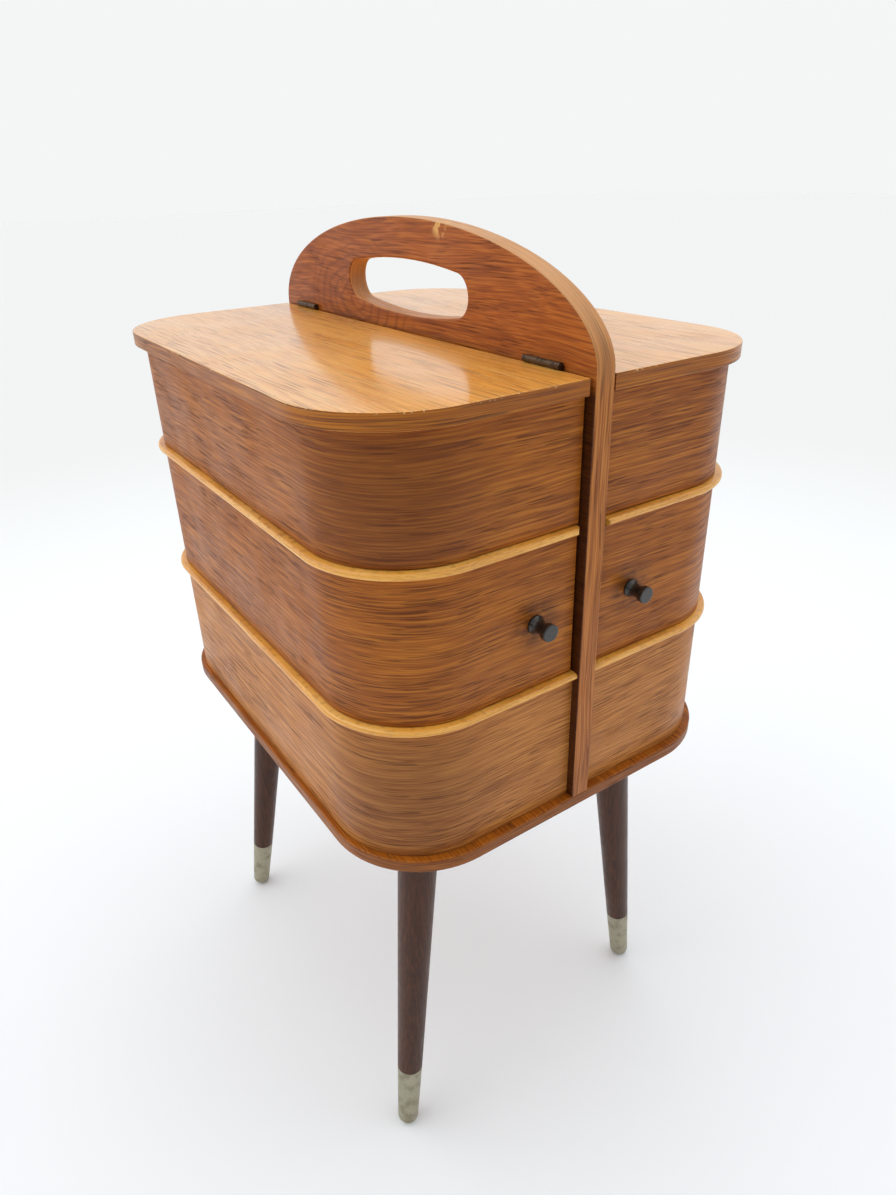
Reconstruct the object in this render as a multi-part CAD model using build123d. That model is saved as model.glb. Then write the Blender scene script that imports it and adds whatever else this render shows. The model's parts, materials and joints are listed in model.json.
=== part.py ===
from build123d import *
import math
import os

# Sewing box with two lids and two swing-out trays, millimetres.
# X runs across the two halves, Y along the centre panel (front is -Y), Z is up.
# The origin is on the floor under the middle of the box.

# ---- driving dimensions -------------------------------------------------
# levels above the floor
base_bottom = 258.0
base_thickness = 8.0
lower_bead_top = 354.0
upper_bead_top = 442.2
lid_bottom = 508.3
lid_thickness = 8.4
arch_spring = 518.2
arch_top = 580.3

# plan of the tiers: each half runs from the panel out to tier_half_width
panel_thickness = 12.4
panel_half_length = 167.5
tier_half_width = 131.8
tier_half_length = 162.0
tier_corner_radius = 54.5
wall_thickness = 5.0
tier_gap = 0.6
top_wall_panel_gap = 1.6

# boards that overhang the walls
base_half_width = 135.2
base_corner_radius = 59.5
base_edge_ease = 1.2
lid_half_width = 138.4
lid_half_length = 165.8
lid_corner_radius = 58.0
lid_edge_ease = 0.5
lid_rest_gap = 0.1

# rim beads
bead_height = 4.0
bead_overhang = 4.3
bead_nose_radius = 1.9
bead_panel_gap = 0.3
tray_bead_front_root = 6.8
tray_bead_front_nose = 11.0
tray_bead_rear_root = 11.4
tray_bead_rear_nose = 16.0

# hand hole in the arch: an oval of four arcs
hole_center_height = 542.1
hole_half_length = 65.6
hole_half_height = 15.6
hole_end_radius = 11.7
panel_edge_ease = 1.0
hole_edge_ease = 1.6

# inner boards
floor_thickness = 4.0
inner_wall_thickness = 5.0
divider_thickness = 3.0
top_divider_height = 42.0
tray_divider_height = 56.0
top_divider_spacing = 106.0

# tray pivots, at the rear corner beside the panel
tray_panel_gap = 2.0
pivot_from_inner_face = 12.0
pivot_from_rear_face = 8.0
pivot_rod_diameter = 4.0
pivot_rod_bottom = 300.0
pivot_rod_top = 462.0
pivot_running_clearance = 0.05
pivot_floor_clearance = 0.3
pivot_block_width = 14.0
pivot_block_depth = 12.0
top_block_height = 22.0
tray_corner_radius = 4.0
washer_diameter = 9.0
washer_thickness = 0.5

# lid hinges, one near each end of each lid
hinge_length = 28.0
hinge_center_y = 131.0
hinge_barrel_radius = 1.8
hinge_pin_radius = 0.8
hinge_pin_clearance = 0.05
hinge_pin_head_radius = 1.3
hinge_pin_head_length = 0.5
hinge_leaf_thickness = 1.0
hinge_leaf_gap = 0.1
hinge_leaf_drop = 9.4
hinge_lid_clearance = 0.2
hinge_knuckles = 5
hinge_knuckle_gap = 0.15
hinge_screw_pitch = 17.0
hinge_screw_drop = 6.0
hinge_screw_head_radius = 1.7
hinge_screw_shank_radius = 0.9
panel_screw_length = 5.2
lid_screw_length = 9.0

# knobs on the front ends of the trays
knob_x = 34.5
knob_height = 393.5
knob_length = 12.6
knob_flange_radius = 5.3
knob_flange_length = 2.6
knob_waist_radius = 3.6
knob_face_radius = 4.9
knob_face_length = 3.2
knob_edge_radius = 0.6
knob_screw_radius = 1.5
knob_screw_depth = 9.0
knob_screw_head_radius = 3.0
knob_screw_head_length = 1.8

# legs and ferrules
leg_top_x = 79.8
leg_top_y = 111.0
# the legs stand a little unevenly: X and Y of each foot by (side, end)
foot_places = {
    (-1, -1): (116.4, 132.3),
    (1, -1): (108.2, 118.0),
    (-1, 1): (112.7, 140.2),
    (1, 1): (113.0, 131.5),
}
leg_top_radius = 13.6
ferrule_length = 51.0
ferrule_top_radius = 8.6
ferrule_foot_radius = 7.0
ferrule_wall = 0.9
ferrule_corner_radius = 5.7
ferrule_rim_ease = 0.4
foot_flat_depth = 0.25

# leg fixings under the base plate
leg_plate_size = 50.0
leg_plate_thickness = 2.5
leg_plate_corner = 6.0
leg_plate_screw_pitch = 37.0
leg_plate_screw_radius = 1.6
leg_plate_screw_head_radius = 3.2
leg_plate_screw_depth = 6.0
leg_plate_screw_head_height = 1.4
hanger_bolt_radius = 4.0
hanger_bolt_in_leg = 32.0
hanger_bolt_in_base = 5.0

# screws that hold the panel up through the base plate
panel_screw_y = (-120.0, -40.0, 40.0, 120.0)
base_screw_radius = 2.0
base_screw_head_radius = 3.8
base_screw_reach = 28.0

# working values: how far a cutter runs past its board, and what counts as the same level
cutter_overlap = 1.0
tolerance = 0.01

# ---- derived levels and places ------------------------------------------
base_top = base_bottom + base_thickness
lid_top = lid_bottom + lid_thickness
panel_face = panel_thickness / 2
tray_bottom = lower_bead_top + tier_gap
top_tier_bottom = upper_bead_top + tier_gap
top_wall_top = lid_bottom - lid_rest_gap
tray_inner_face = panel_face + tray_panel_gap
top_inner_face = panel_face + inner_wall_thickness
lid_inner_edge = panel_face + 2 * hinge_leaf_thickness + hinge_leaf_gap
pivot_x = tray_inner_face + pivot_from_inner_face
pivot_y = tier_half_length - pivot_from_rear_face
inner_half_length = tier_half_length - wall_thickness
inner_half_width = tier_half_width - wall_thickness
inner_corner_radius = tier_corner_radius - wall_thickness
hinge_axis_x = panel_face + hinge_barrel_radius
hinge_axis_z = lid_top + hinge_lid_clearance + hinge_barrel_radius
sides = {"left": -1, "right": 1}
ends = {"front": -1, "back": 1}


# ---- shared shapes ------------------------------------------------------
def half_board(side, inner, outer, half_length, radius, bottom, top):
    """Flat board of one half: straight along the panel, round at its two outer corners."""
    center = Pos(side * (inner + outer) / 2, 0)
    outline = center * Rectangle(outer - inner, 2 * half_length)
    corners = outline.vertices().filter_by(lambda v: abs(v.X) > (inner + outer) / 2)
    outline = fillet(corners, radius)
    return extrude(Pos(0, 0, bottom) * outline, top - bottom)


def bent_wall(side, inner, bottom, top):
    """U-shaped bent wall whose two ends stop at the inner distance from the middle."""
    shell = half_board(side, inner, tier_half_width, tier_half_length, tier_corner_radius, bottom, top)
    hollow = half_board(
        side, inner - wall_thickness, inner_half_width, inner_half_length,
        inner_corner_radius, bottom - cutter_overlap, top + cutter_overlap,
    )
    return shell - hollow


def rim_bead(side, inner, top):
    """U-shaped strip that caps a wall and stands proud of it with a rounded nose."""
    bottom = top - bead_height
    outer = half_board(
        side, inner, tier_half_width + bead_overhang, tier_half_length + bead_overhang,
        tier_corner_radius + bead_overhang, bottom, top,
    )
    nose = [e for e in outer.edges() if on_bead_nose(e, side)]
    rounded = fillet(nose, bead_nose_radius)
    hollow = half_board(
        side, inner - wall_thickness, inner_half_width, inner_half_length,
        inner_corner_radius, bottom - cutter_overlap, top + cutter_overlap,
    )
    return rounded - hollow


def on_bead_nose(edge, side):
    """True for the level edges round the outside of a bead, not those at the panel."""
    box = edge.bounding_box()
    level = box.size.Z < tolerance
    outermost = max(side * box.min.X, side * box.max.X) > tier_half_width / 2
    return level and outermost


def cylinder_between(start, end, radius):
    """Round rod from one point to another."""
    start, end = Vector(*start), Vector(*end)
    along = end - start
    plane = Plane(origin=start, z_dir=along)
    return extrude(plane * Circle(radius), along.length)


def eased(solid, level, radius):
    """Rounds the edges that lie flat at one height."""
    rim = [e for e in solid.edges() if abs(e.bounding_box().min.Z - level) < tolerance
           and e.bounding_box().size.Z < tolerance]
    return fillet(rim, radius)


def countersunk_screw(head, tip, head_radius, shank_radius):
    """Wood screw with a flush conical head, from the middle of its head to its tip."""
    head, tip = Vector(*head), Vector(*tip)
    along = (tip - head).normalized()
    cone_depth = head_radius - shank_radius
    cone = Plane(origin=head + along * (cone_depth / 2), z_dir=along)
    shank_start = head + along * cone_depth
    return (cone * Cone(head_radius, shank_radius, cone_depth)
            + cylinder_between(tuple(shank_start), tuple(tip), shank_radius))


# ---- carcass ------------------------------------------------------------
def make_base_plate():
    outline = Rectangle(2 * base_half_width, 2 * panel_half_length)
    outline = fillet(outline.vertices(), base_corner_radius)
    plate = extrude(Pos(0, 0, base_bottom) * outline, base_thickness)
    plate = eased(plate, base_top, base_edge_ease)
    return eased(plate, base_bottom, base_edge_ease)


def hand_hole_outline():
    """Oval of four arcs: flat long arcs above and below, tight arcs at the ends."""
    a, b, r = hole_half_length, hole_half_height, hole_end_radius
    long_radius = (a * a + b * b - 2 * a * r) / (2 * (b - r))
    slope = math.atan2(long_radius - b, a - r)
    join_y = a - r + r * math.cos(slope)
    join_z = r * math.sin(slope)
    with BuildSketch() as oval:
        with BuildLine():
            ThreePointArc((-join_y, join_z), (0, b), (join_y, join_z))
            ThreePointArc((join_y, join_z), (a, 0), (join_y, -join_z))
            ThreePointArc((join_y, -join_z), (0, -b), (-join_y, -join_z))
            ThreePointArc((-join_y, -join_z), (-a, 0), (-join_y, join_z))
        make_face()
    return oval.sketch


def make_center_panel():
    """Upright board from the base plate up, ending in an arched handle with a hand hole."""
    side_view = Plane.YZ.offset(-panel_face)
    stem_height = arch_spring - base_top
    stem = Pos(0, base_top + stem_height / 2) * Rectangle(2 * panel_half_length, stem_height)
    arch = Pos(0, arch_spring) * Ellipse(panel_half_length, arch_top - arch_spring)
    board = extrude(side_view * (stem + arch), panel_thickness)
    arch_edges = [e for e in board.edges() if is_arch_edge(e)]
    board = fillet(arch_edges, panel_edge_ease)
    hole = extrude(side_view * (Pos(0, hole_center_height) * hand_hole_outline()), panel_thickness)
    board -= hole
    hole_edges = [e for e in board.edges() if is_hole_edge(e)]
    return fillet(hole_edges, hole_edge_ease)


def is_arch_edge(edge):
    box = edge.bounding_box()
    return box.size.X < tolerance and box.max.Z > arch_spring + cutter_overlap


def is_hole_edge(edge):
    box = edge.bounding_box()
    inside = abs(edge.center().Y) < hole_half_length + cutter_overlap and box.size.X < tolerance
    hole_top = hole_center_height + hole_half_height
    return inside and lid_top < box.min.Z and box.max.Z < hole_top + cutter_overlap


def make_pivot_block(side, bottom, top):
    """Upright glue block in the rear corner that the pivot rod runs through."""
    inner = tray_inner_face + inner_wall_thickness
    center = (side * (inner + pivot_block_width / 2), inner_half_length - pivot_block_depth / 2)
    outline = Pos(*center) * Rectangle(pivot_block_width, pivot_block_depth)
    return extrude(Pos(0, 0, bottom) * outline, top - bottom)


def make_pivot_rod(side):
    return cylinder_between(
        (side * pivot_x, pivot_y, pivot_rod_bottom), (side * pivot_x, pivot_y, pivot_rod_top),
        pivot_rod_diameter / 2,
    )


def make_pivot_washers(side):
    """One washer under the tray and one above it."""
    washers = []
    for level in (lower_bead_top, upper_bead_top):
        middle = level + tier_gap / 2
        low = (side * pivot_x, pivot_y, middle - washer_thickness / 2)
        high = (side * pivot_x, pivot_y, middle + washer_thickness / 2)
        bore = pivot_rod_diameter / 2 + pivot_running_clearance
        disc = cylinder_between(low, high, washer_diameter / 2)
        washers.append(disc - cylinder_between(low, high, bore))
    return washers


# ---- trays --------------------------------------------------------------
def running_bore(side, clearance):
    """Bore through a tray for its pivot rod."""
    return cylinder_between(
        (side * pivot_x, pivot_y, tray_bottom - cutter_overlap),
        (side * pivot_x, pivot_y, upper_bead_top + cutter_overlap),
        pivot_rod_diameter / 2 + clearance,
    )


def rear_corner_relief(side):
    """Waste outside the rounded rear corner that turns past the panel."""
    size = tray_corner_radius
    corner = (side * (tray_inner_face + size / 2), tier_half_length - size / 2)
    square = Pos(*corner) * Rectangle(size, size)
    keep = Pos(side * (tray_inner_face + size), tier_half_length - size) * Circle(size)
    waste_height = upper_bead_top - tray_bottom + 2 * cutter_overlap
    return extrude(Pos(0, 0, tray_bottom - cutter_overlap) * (square - keep), waste_height)


def bead_end_waste(side, end, root, nose):
    """Waste at one end of a tray's bead, beyond a slant from the wall's face to the bead's nose."""
    wall_y = end * tier_half_length
    inside_y = end * (inner_half_length - cutter_overlap)
    outside_y = end * (tier_half_length + bead_overhang + cutter_overlap)
    slant = cutter_overlap * (nose - root) / bead_overhang
    waste = make_face(Polyline(
        (0, inside_y), (side * root, inside_y), (side * root, wall_y),
        (side * (nose + slant), outside_y), (0, outside_y), close=True,
    ))
    waste_bottom = upper_bead_top - bead_height - cutter_overlap
    return extrude(Pos(0, 0, waste_bottom) * waste, bead_height + 2 * cutter_overlap)


def make_tray_bead(side):
    """Rim bead of a tray. Slanted ends, and the rear end turns past the panel with its corner."""
    bead = rim_bead(side, panel_face + bead_panel_gap, upper_bead_top)
    bead -= bead_end_waste(side, ends["front"], tray_bead_front_root, tray_bead_front_nose)
    bead -= bead_end_waste(side, ends["back"], tray_bead_rear_root, tray_bead_rear_nose)
    return bead


def make_tray_wall(side):
    wall = bent_wall(side, tray_inner_face, tray_bottom, upper_bead_top - bead_height)
    return wall - rear_corner_relief(side)


def make_inner_wall(side, near_face, bottom, top):
    """Straight wall beside the panel, between the ends of a bent wall."""
    center = (side * (near_face + inner_wall_thickness / 2), 0)
    outline = Pos(*center) * Rectangle(inner_wall_thickness, 2 * inner_half_length)
    return extrude(Pos(0, 0, bottom) * outline, top - bottom)


def make_tray_floor(side):
    inner = tray_inner_face + inner_wall_thickness
    floor = half_board(
        side, inner, inner_half_width, inner_half_length, inner_corner_radius,
        tray_bottom, tray_bottom + floor_thickness,
    )
    return floor - running_bore(side, pivot_floor_clearance)


def make_tray_pivot_block(side):
    block = make_pivot_block(side, tray_bottom + floor_thickness, upper_bead_top)
    return block - running_bore(side, pivot_running_clearance)


def make_divider(side, inner, y, bottom, height):
    """Thin cross board from the inner wall to the outer wall."""
    width = inner_half_width - inner
    outline = Pos(side * (inner + width / 2), y) * Rectangle(width, divider_thickness)
    return extrude(Pos(0, 0, bottom) * outline, height)


def make_knob(side):
    """Turned spool knob on the front end of a tray, with a flange, a waist and a round face."""
    waist_end = knob_length - knob_face_length
    with BuildSketch(Plane.XY) as profile:
        with BuildLine():
            Line((0, 0), (knob_flange_radius, 0))
            Line((knob_flange_radius, 0), (knob_flange_radius, knob_edge_radius * 2))
            Spline(
                (knob_flange_radius, knob_edge_radius * 2),
                (knob_waist_radius, (knob_flange_length + waist_end) / 2),
                (knob_face_radius, waist_end),
            )
            Line((knob_face_radius, waist_end), (knob_face_radius, knob_length))
            Line((knob_face_radius, knob_length), (0, knob_length))
            Line((0, knob_length), (0, 0))
        make_face()
    body = revolve(profile.sketch, axis=Axis.Y)
    face_rim = [e for e in body.edges() if abs(e.center().Y - knob_length) < tolerance]
    body = fillet(face_rim, knob_edge_radius)
    place = Pos(side * knob_x, -tier_half_length, knob_height) * Rot(0, 0, 180)
    return place * body - make_knob_screw(side)


def make_knob_screw(side):
    """Screw from inside the tray, through the wall and into the knob."""
    head_y = -inner_half_length + knob_screw_head_length
    under_head = -inner_half_length
    tip_y = -tier_half_length - knob_screw_depth
    x, z = side * knob_x, knob_height
    head = cylinder_between((x, head_y, z), (x, under_head, z), knob_screw_head_radius)
    return head + cylinder_between((x, under_head, z), (x, tip_y, z), knob_screw_radius)


# ---- lids and hinges ----------------------------------------------------
def make_lid(side):
    lid = half_board(
        side, lid_inner_edge, lid_half_width, lid_half_length, lid_corner_radius,
        lid_bottom, lid_top,
    )
    for level in (lid_top, lid_bottom):
        rim = [e for e in lid.edges() if abs(e.bounding_box().min.Z - level) < tolerance
               and e.bounding_box().size.Z < tolerance
               and max(abs(e.bounding_box().min.X), abs(e.bounding_box().max.X)) > lid_half_width / 2]
        lid = fillet(rim, lid_edge_ease)
    return lid


def knuckle_spans(end, on_panel):
    """Lengths of the barrel along Y that belong to one leaf. The panel leaf has the outer ones."""
    pitch = hinge_length / hinge_knuckles
    start = end * hinge_center_y - hinge_length / 2
    first = 0 if on_panel else 1
    return [(start + i * pitch + hinge_knuckle_gap / 2, start + (i + 1) * pitch - hinge_knuckle_gap / 2)
            for i in range(first, hinge_knuckles, 2)]


def make_hinge_leaf(side, end, on_panel):
    """Hinge leaf standing upright in the gap between the lid and the panel, with its knuckles."""
    near = panel_face if on_panel else panel_face + hinge_leaf_thickness + hinge_leaf_gap
    top = lid_top - hinge_lid_clearance
    bottom = hinge_axis_z - hinge_leaf_drop
    leaf = extrude(
        Pos(side * (near + hinge_leaf_thickness / 2), end * hinge_center_y, bottom)
        * Rectangle(hinge_leaf_thickness, hinge_length), top - bottom,
    )
    bore = hinge_pin_radius + (0 if on_panel else hinge_pin_clearance)
    for low, high in knuckle_spans(end, on_panel):
        axis_low = (side * hinge_axis_x, low, hinge_axis_z)
        axis_high = (side * hinge_axis_x, high, hinge_axis_z)
        neck_height = hinge_axis_z - top
        neck = extrude(
            Pos(side * (near + hinge_leaf_thickness / 2), (low + high) / 2, top)
            * Rectangle(hinge_leaf_thickness, high - low), neck_height,
        )
        leaf += neck + cylinder_between(axis_low, axis_high, hinge_barrel_radius)
        leaf -= cylinder_between(axis_low, axis_high, bore)
    for screw in hinge_screws(side, end, on_panel):
        leaf -= screw
    return leaf


def hinge_screws(side, end, on_panel):
    """Two screws through one leaf, into the panel or into the edge of the lid."""
    z = hinge_axis_z - hinge_screw_drop
    screws = []
    for step in (-1, 1):
        y = end * hinge_center_y + step * hinge_screw_pitch / 2
        if on_panel:
            head_x = panel_face + hinge_leaf_thickness
            tip_x = head_x - panel_screw_length - hinge_leaf_thickness
        else:
            head_x = lid_inner_edge - hinge_leaf_thickness
            tip_x = head_x + lid_screw_length
        screws.append(countersunk_screw(
            (side * head_x, y, z), (side * tip_x, y, z),
            hinge_screw_head_radius, hinge_screw_shank_radius,
        ))
    return screws


def make_hinge_pin(side, end):
    """Pin through all the knuckles, with a low head at each end."""
    half = hinge_length / 2
    y = end * hinge_center_y
    pin = cylinder_between(
        (side * hinge_axis_x, y - half, hinge_axis_z), (side * hinge_axis_x, y + half, hinge_axis_z),
        hinge_pin_radius,
    )
    for tip in (-1, 1):
        pin += cylinder_between(
            (side * hinge_axis_x, y + tip * half, hinge_axis_z),
            (side * hinge_axis_x, y + tip * (half + hinge_pin_head_length), hinge_axis_z),
            hinge_pin_head_radius,
        )
    return pin


# ---- legs ---------------------------------------------------------------
def leg_axis(side, end):
    """Point at the middle of the foot, the unit direction up the leg and the leg's length."""
    foot_x, foot_y = foot_places[side, end]
    tilt = math.atan2(math.hypot(foot_x - leg_top_x, foot_y - leg_top_y), base_bottom)
    lift = (ferrule_corner_radius * (1 - math.cos(tilt))
            + (ferrule_foot_radius - ferrule_corner_radius) * math.sin(tilt)
            - foot_flat_depth)
    foot = Vector(side * foot_x, end * foot_y, lift)
    top = Vector(side * leg_top_x, end * leg_top_y, base_bottom)
    return foot, (top - foot).normalized(), (top - foot).length


def leg_frame(side, end):
    foot, up, _ = leg_axis(side, end)
    return Plane(origin=foot, x_dir=(1, 0, 0), z_dir=up)


def turned(points):
    """Solid of revolution about Z from a half profile of (radius, height) points."""
    outline = make_face(Polyline(*points, close=True))
    return revolve(Plane.XZ * outline, axis=Axis.Z)


def make_ferrule(side, end):
    """Tapered metal cup on the foot of a leg, round at its lower end and flush with the wood."""
    cup = turned([
        (0, 0), (ferrule_foot_radius, 0),
        (ferrule_top_radius, ferrule_length), (0, ferrule_length),
    ])
    cup = fillet([e for e in cup.edges() if e.center().Z < tolerance], ferrule_corner_radius)
    rim = [e for e in cup.edges() if e.center().Z > ferrule_length - tolerance]
    cup = fillet(rim, ferrule_rim_ease)
    cup = cup - leg_spigot()
    placed = leg_frame(side, end) * cup
    above_floor = Pos(0, 0, ferrule_length) * Box(
        2 * panel_half_length, 2 * panel_half_length, 2 * ferrule_length)
    return placed & above_floor


def leg_spigot():
    """Part of the leg that fills the ferrule."""
    return turned([
        (0, ferrule_corner_radius), (ferrule_foot_radius - ferrule_wall, ferrule_corner_radius),
        (ferrule_top_radius - ferrule_wall, ferrule_length), (0, ferrule_length),
    ])


def make_leg(side, end):
    """Turned leg, straight tapered and splayed to its corner, cut level under its plate."""
    _, _, length = leg_axis(side, end)
    beyond = leg_top_radius
    growth = (leg_top_radius - ferrule_top_radius) / (length - ferrule_length)
    shaft = turned([
        (0, ferrule_length), (ferrule_top_radius, ferrule_length),
        (leg_top_radius + growth * beyond, length + beyond), (0, length + beyond),
    ])
    leg = leg_frame(side, end) * (shaft + leg_spigot())
    level = base_bottom - leg_plate_thickness
    above = Pos(side * leg_top_x, end * leg_top_y, level + leg_plate_size) * Box(
        leg_plate_size * 2, leg_plate_size * 2, leg_plate_size * 2)
    return leg - above - make_hanger_bolt(side, end)


def make_hanger_bolt(side, end):
    """Stud along the leg, half in the leg and half through the plate into the base plate."""
    foot, up, length = leg_axis(side, end)
    start = foot + up * (length - hanger_bolt_in_leg)
    tip = foot + up * (length + hanger_bolt_in_base)
    return cylinder_between(tuple(start), tuple(tip), hanger_bolt_radius)


def make_leg_plate(side, end):
    """Square steel plate between a leg and the base plate, turned to face its corner."""
    outline = Rectangle(leg_plate_size, leg_plate_size)
    outline = fillet(outline.vertices(), leg_plate_corner)
    place = Pos(side * leg_top_x, end * leg_top_y, base_bottom - leg_plate_thickness)
    plate = place * extrude(outline, leg_plate_thickness)
    plate -= make_hanger_bolt(side, end)
    for screw in plate_screws(side, end):
        plate -= screw
    return plate


def plate_screws(side, end):
    """Four screws up through a leg plate."""
    low = base_bottom - leg_plate_thickness
    half = leg_plate_screw_pitch / 2
    screws = []
    for x_step in (-1, 1):
        for y_step in (-1, 1):
            x = side * leg_top_x + x_step * half
            y = end * leg_top_y + y_step * half
            screws.append(countersunk_screw(
                (x, y, low), (x, y, low + leg_plate_screw_depth + leg_plate_screw_head_height),
                leg_plate_screw_head_radius, leg_plate_screw_radius,
            ))
    return screws


def base_screws():
    """Screws up through the base plate into the foot of the centre panel."""
    return [countersunk_screw((0, y, base_bottom), (0, y, base_bottom + base_screw_reach),
                              base_screw_head_radius, base_screw_radius) for y in panel_screw_y]


# ---- build every piece --------------------------------------------------
def build():
    pieces = {}
    panel_fixings = base_screws()
    plate_fixings = []
    bolts = []
    plates = []
    panel_leaf_screws = []
    pins = []
    rods = []
    washers = []
    bottom_blocks = []
    top_blocks = []
    base_plate = make_base_plate()
    center_panel = make_center_panel()
    for screw in panel_fixings:
        base_plate -= screw
        center_panel -= screw

    for name, side in sides.items():
        rod = make_pivot_rod(side)
        rods.append(rod)
        washers += make_pivot_washers(side)
        pieces[f"bottom_wall_{name}"] = bent_wall(
            side, panel_face, base_top, lower_bead_top - bead_height)
        pieces[f"bottom_bead_{name}"] = rim_bead(side, panel_face + bead_panel_gap, lower_bead_top)
        bottom_blocks.append(make_pivot_block(side, base_top, lower_bead_top) - rod)

        pieces[f"tray_wall_{name}"] = make_tray_wall(side) - make_knob_screw(side)
        pieces[f"tray_inner_wall_{name}"] = make_inner_wall(
            side, tray_inner_face, tray_bottom, upper_bead_top)
        pieces[f"tray_floor_{name}"] = make_tray_floor(side)
        pieces[f"tray_bead_{name}"] = make_tray_bead(side)
        pieces[f"tray_pivot_block_{name}"] = make_tray_pivot_block(side)
        pieces[f"tray_divider_{name}"] = make_divider(
            side, tray_inner_face + inner_wall_thickness, 0, tray_bottom + floor_thickness,
            tray_divider_height)
        pieces[f"knob_{name}"] = make_knob(side)
        pieces[f"knob_screw_{name}"] = make_knob_screw(side)

        top_floor_top = top_tier_bottom + floor_thickness
        pieces[f"top_wall_{name}"] = bent_wall(
            side, panel_face + top_wall_panel_gap, top_tier_bottom, top_wall_top)
        pieces[f"top_inner_wall_{name}"] = make_inner_wall(
            side, panel_face, top_tier_bottom, top_wall_top)
        pieces[f"top_floor_{name}"] = half_board(
            side, top_inner_face, inner_half_width, inner_half_length, inner_corner_radius,
            top_tier_bottom, top_floor_top) - rod
        top_blocks.append(
            make_pivot_block(side, top_floor_top, top_floor_top + top_block_height) - rod)
        pieces[f"top_dividers_{name}"] = Compound([
            make_divider(side, top_inner_face, step * top_divider_spacing / 2, top_floor_top,
                         top_divider_height) for step in (-1, 1)])

        lid = make_lid(side)
        lid_leaf_screws = []
        for end_name, end in ends.items():
            pieces[f"hinge_{end_name}_{name}_panel_leaf"] = make_hinge_leaf(side, end, True)
            pieces[f"hinge_{end_name}_{name}_lid_leaf"] = make_hinge_leaf(side, end, False)
            lid_leaf_screws += hinge_screws(side, end, False)
            panel_leaf_screws += hinge_screws(side, end, True)
            pins.append(make_hinge_pin(side, end))
            bolt = make_hanger_bolt(side, end)
            screws = plate_screws(side, end)
            bolts.append(bolt)
            plates.append(make_leg_plate(side, end))
            plate_fixings += screws
            for fixing in [bolt] + screws:
                base_plate -= fixing
            pieces[f"leg_{end_name}_{name}"] = make_leg(side, end)
            pieces[f"ferrule_{end_name}_{name}"] = make_ferrule(side, end)
        for screw in lid_leaf_screws:
            lid -= screw
        pieces[f"lid_{name}"] = lid
        pieces[f"lid_hinge_screws_{name}"] = Compound(lid_leaf_screws)

    for screw in panel_leaf_screws:
        center_panel -= screw
    pieces["base_plate"] = base_plate
    pieces["center_panel"] = center_panel
    pieces["panel_hinge_screws"] = Compound(panel_leaf_screws)
    pieces["hinge_pins"] = Compound(pins)
    pieces["pivot_rods"] = Compound(rods)
    pieces["pivot_washers"] = Compound(washers)
    pieces["bottom_pivot_blocks"] = Compound(bottom_blocks)
    pieces["top_pivot_blocks"] = Compound(top_blocks)
    pieces["panel_screws"] = Compound(panel_fixings)
    pieces["leg_plates"] = Compound(plates)
    pieces["leg_plate_screws"] = Compound(plate_fixings)
    pieces["hanger_bolts"] = Compound(bolts)
    return pieces


os.makedirs("parts", exist_ok=True)
for node, shape in build().items():
    export_step(shape, f"parts/{node}.step")
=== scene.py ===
import bmesh
import bpy
import json
import math
from mathutils import Matrix, Vector


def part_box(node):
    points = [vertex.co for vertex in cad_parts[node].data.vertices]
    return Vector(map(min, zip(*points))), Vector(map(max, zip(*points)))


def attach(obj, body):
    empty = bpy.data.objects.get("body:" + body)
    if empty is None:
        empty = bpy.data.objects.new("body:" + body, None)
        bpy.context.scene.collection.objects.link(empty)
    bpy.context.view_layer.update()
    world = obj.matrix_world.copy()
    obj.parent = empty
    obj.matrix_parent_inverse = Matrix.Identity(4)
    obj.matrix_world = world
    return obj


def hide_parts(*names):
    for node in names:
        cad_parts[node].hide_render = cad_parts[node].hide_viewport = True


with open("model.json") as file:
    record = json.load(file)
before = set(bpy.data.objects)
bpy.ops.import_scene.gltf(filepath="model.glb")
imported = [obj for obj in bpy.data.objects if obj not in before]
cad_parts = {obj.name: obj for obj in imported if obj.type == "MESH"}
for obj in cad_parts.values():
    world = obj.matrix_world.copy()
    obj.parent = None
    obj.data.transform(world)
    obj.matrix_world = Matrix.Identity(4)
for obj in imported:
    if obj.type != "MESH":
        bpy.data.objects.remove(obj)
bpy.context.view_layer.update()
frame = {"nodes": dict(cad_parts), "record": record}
nodes = frame["nodes"]
mm = 0.001   # the frame is in metres, and the sizes written here are in mm


def hexColor(text):
    # sRGB hex to the linear values that the sockets take
    channels = [int(text[i:i + 2], 16) / 255 for i in (1, 3, 5)]
    return (*[c / 12.92 if c <= 0.04045 else ((c + 0.055) / 1.055) ** 2.4 for c in channels], 1.0)


def addNode(tree, kind, settings=None, give=None, **sockets):
    # adds a node, sets its properties and its sockets, and gives back one output
    node = tree.nodes.new(kind)
    for key, value in (settings or {}).items():
        setattr(node, key, value)
    for key, value in sockets.items():
        if key[:2] == "in" and key[2:].isdigit():
            socket = node.inputs[int(key[2:])]
        else:
            socket = [s for s in node.inputs if s.enabled and s.name == key.replace("_", " ")][0]
        if isinstance(value, bpy.types.NodeSocket):
            tree.links.new(value, socket)
        elif isinstance(value, str) and value[:1] == "#":
            socket.default_value = hexColor(value)
        else:
            socket.default_value = value
    if give:
        return node.outputs[give]
    shown = [s for s in node.outputs if s.enabled]
    return shown[0] if shown else None


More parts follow.
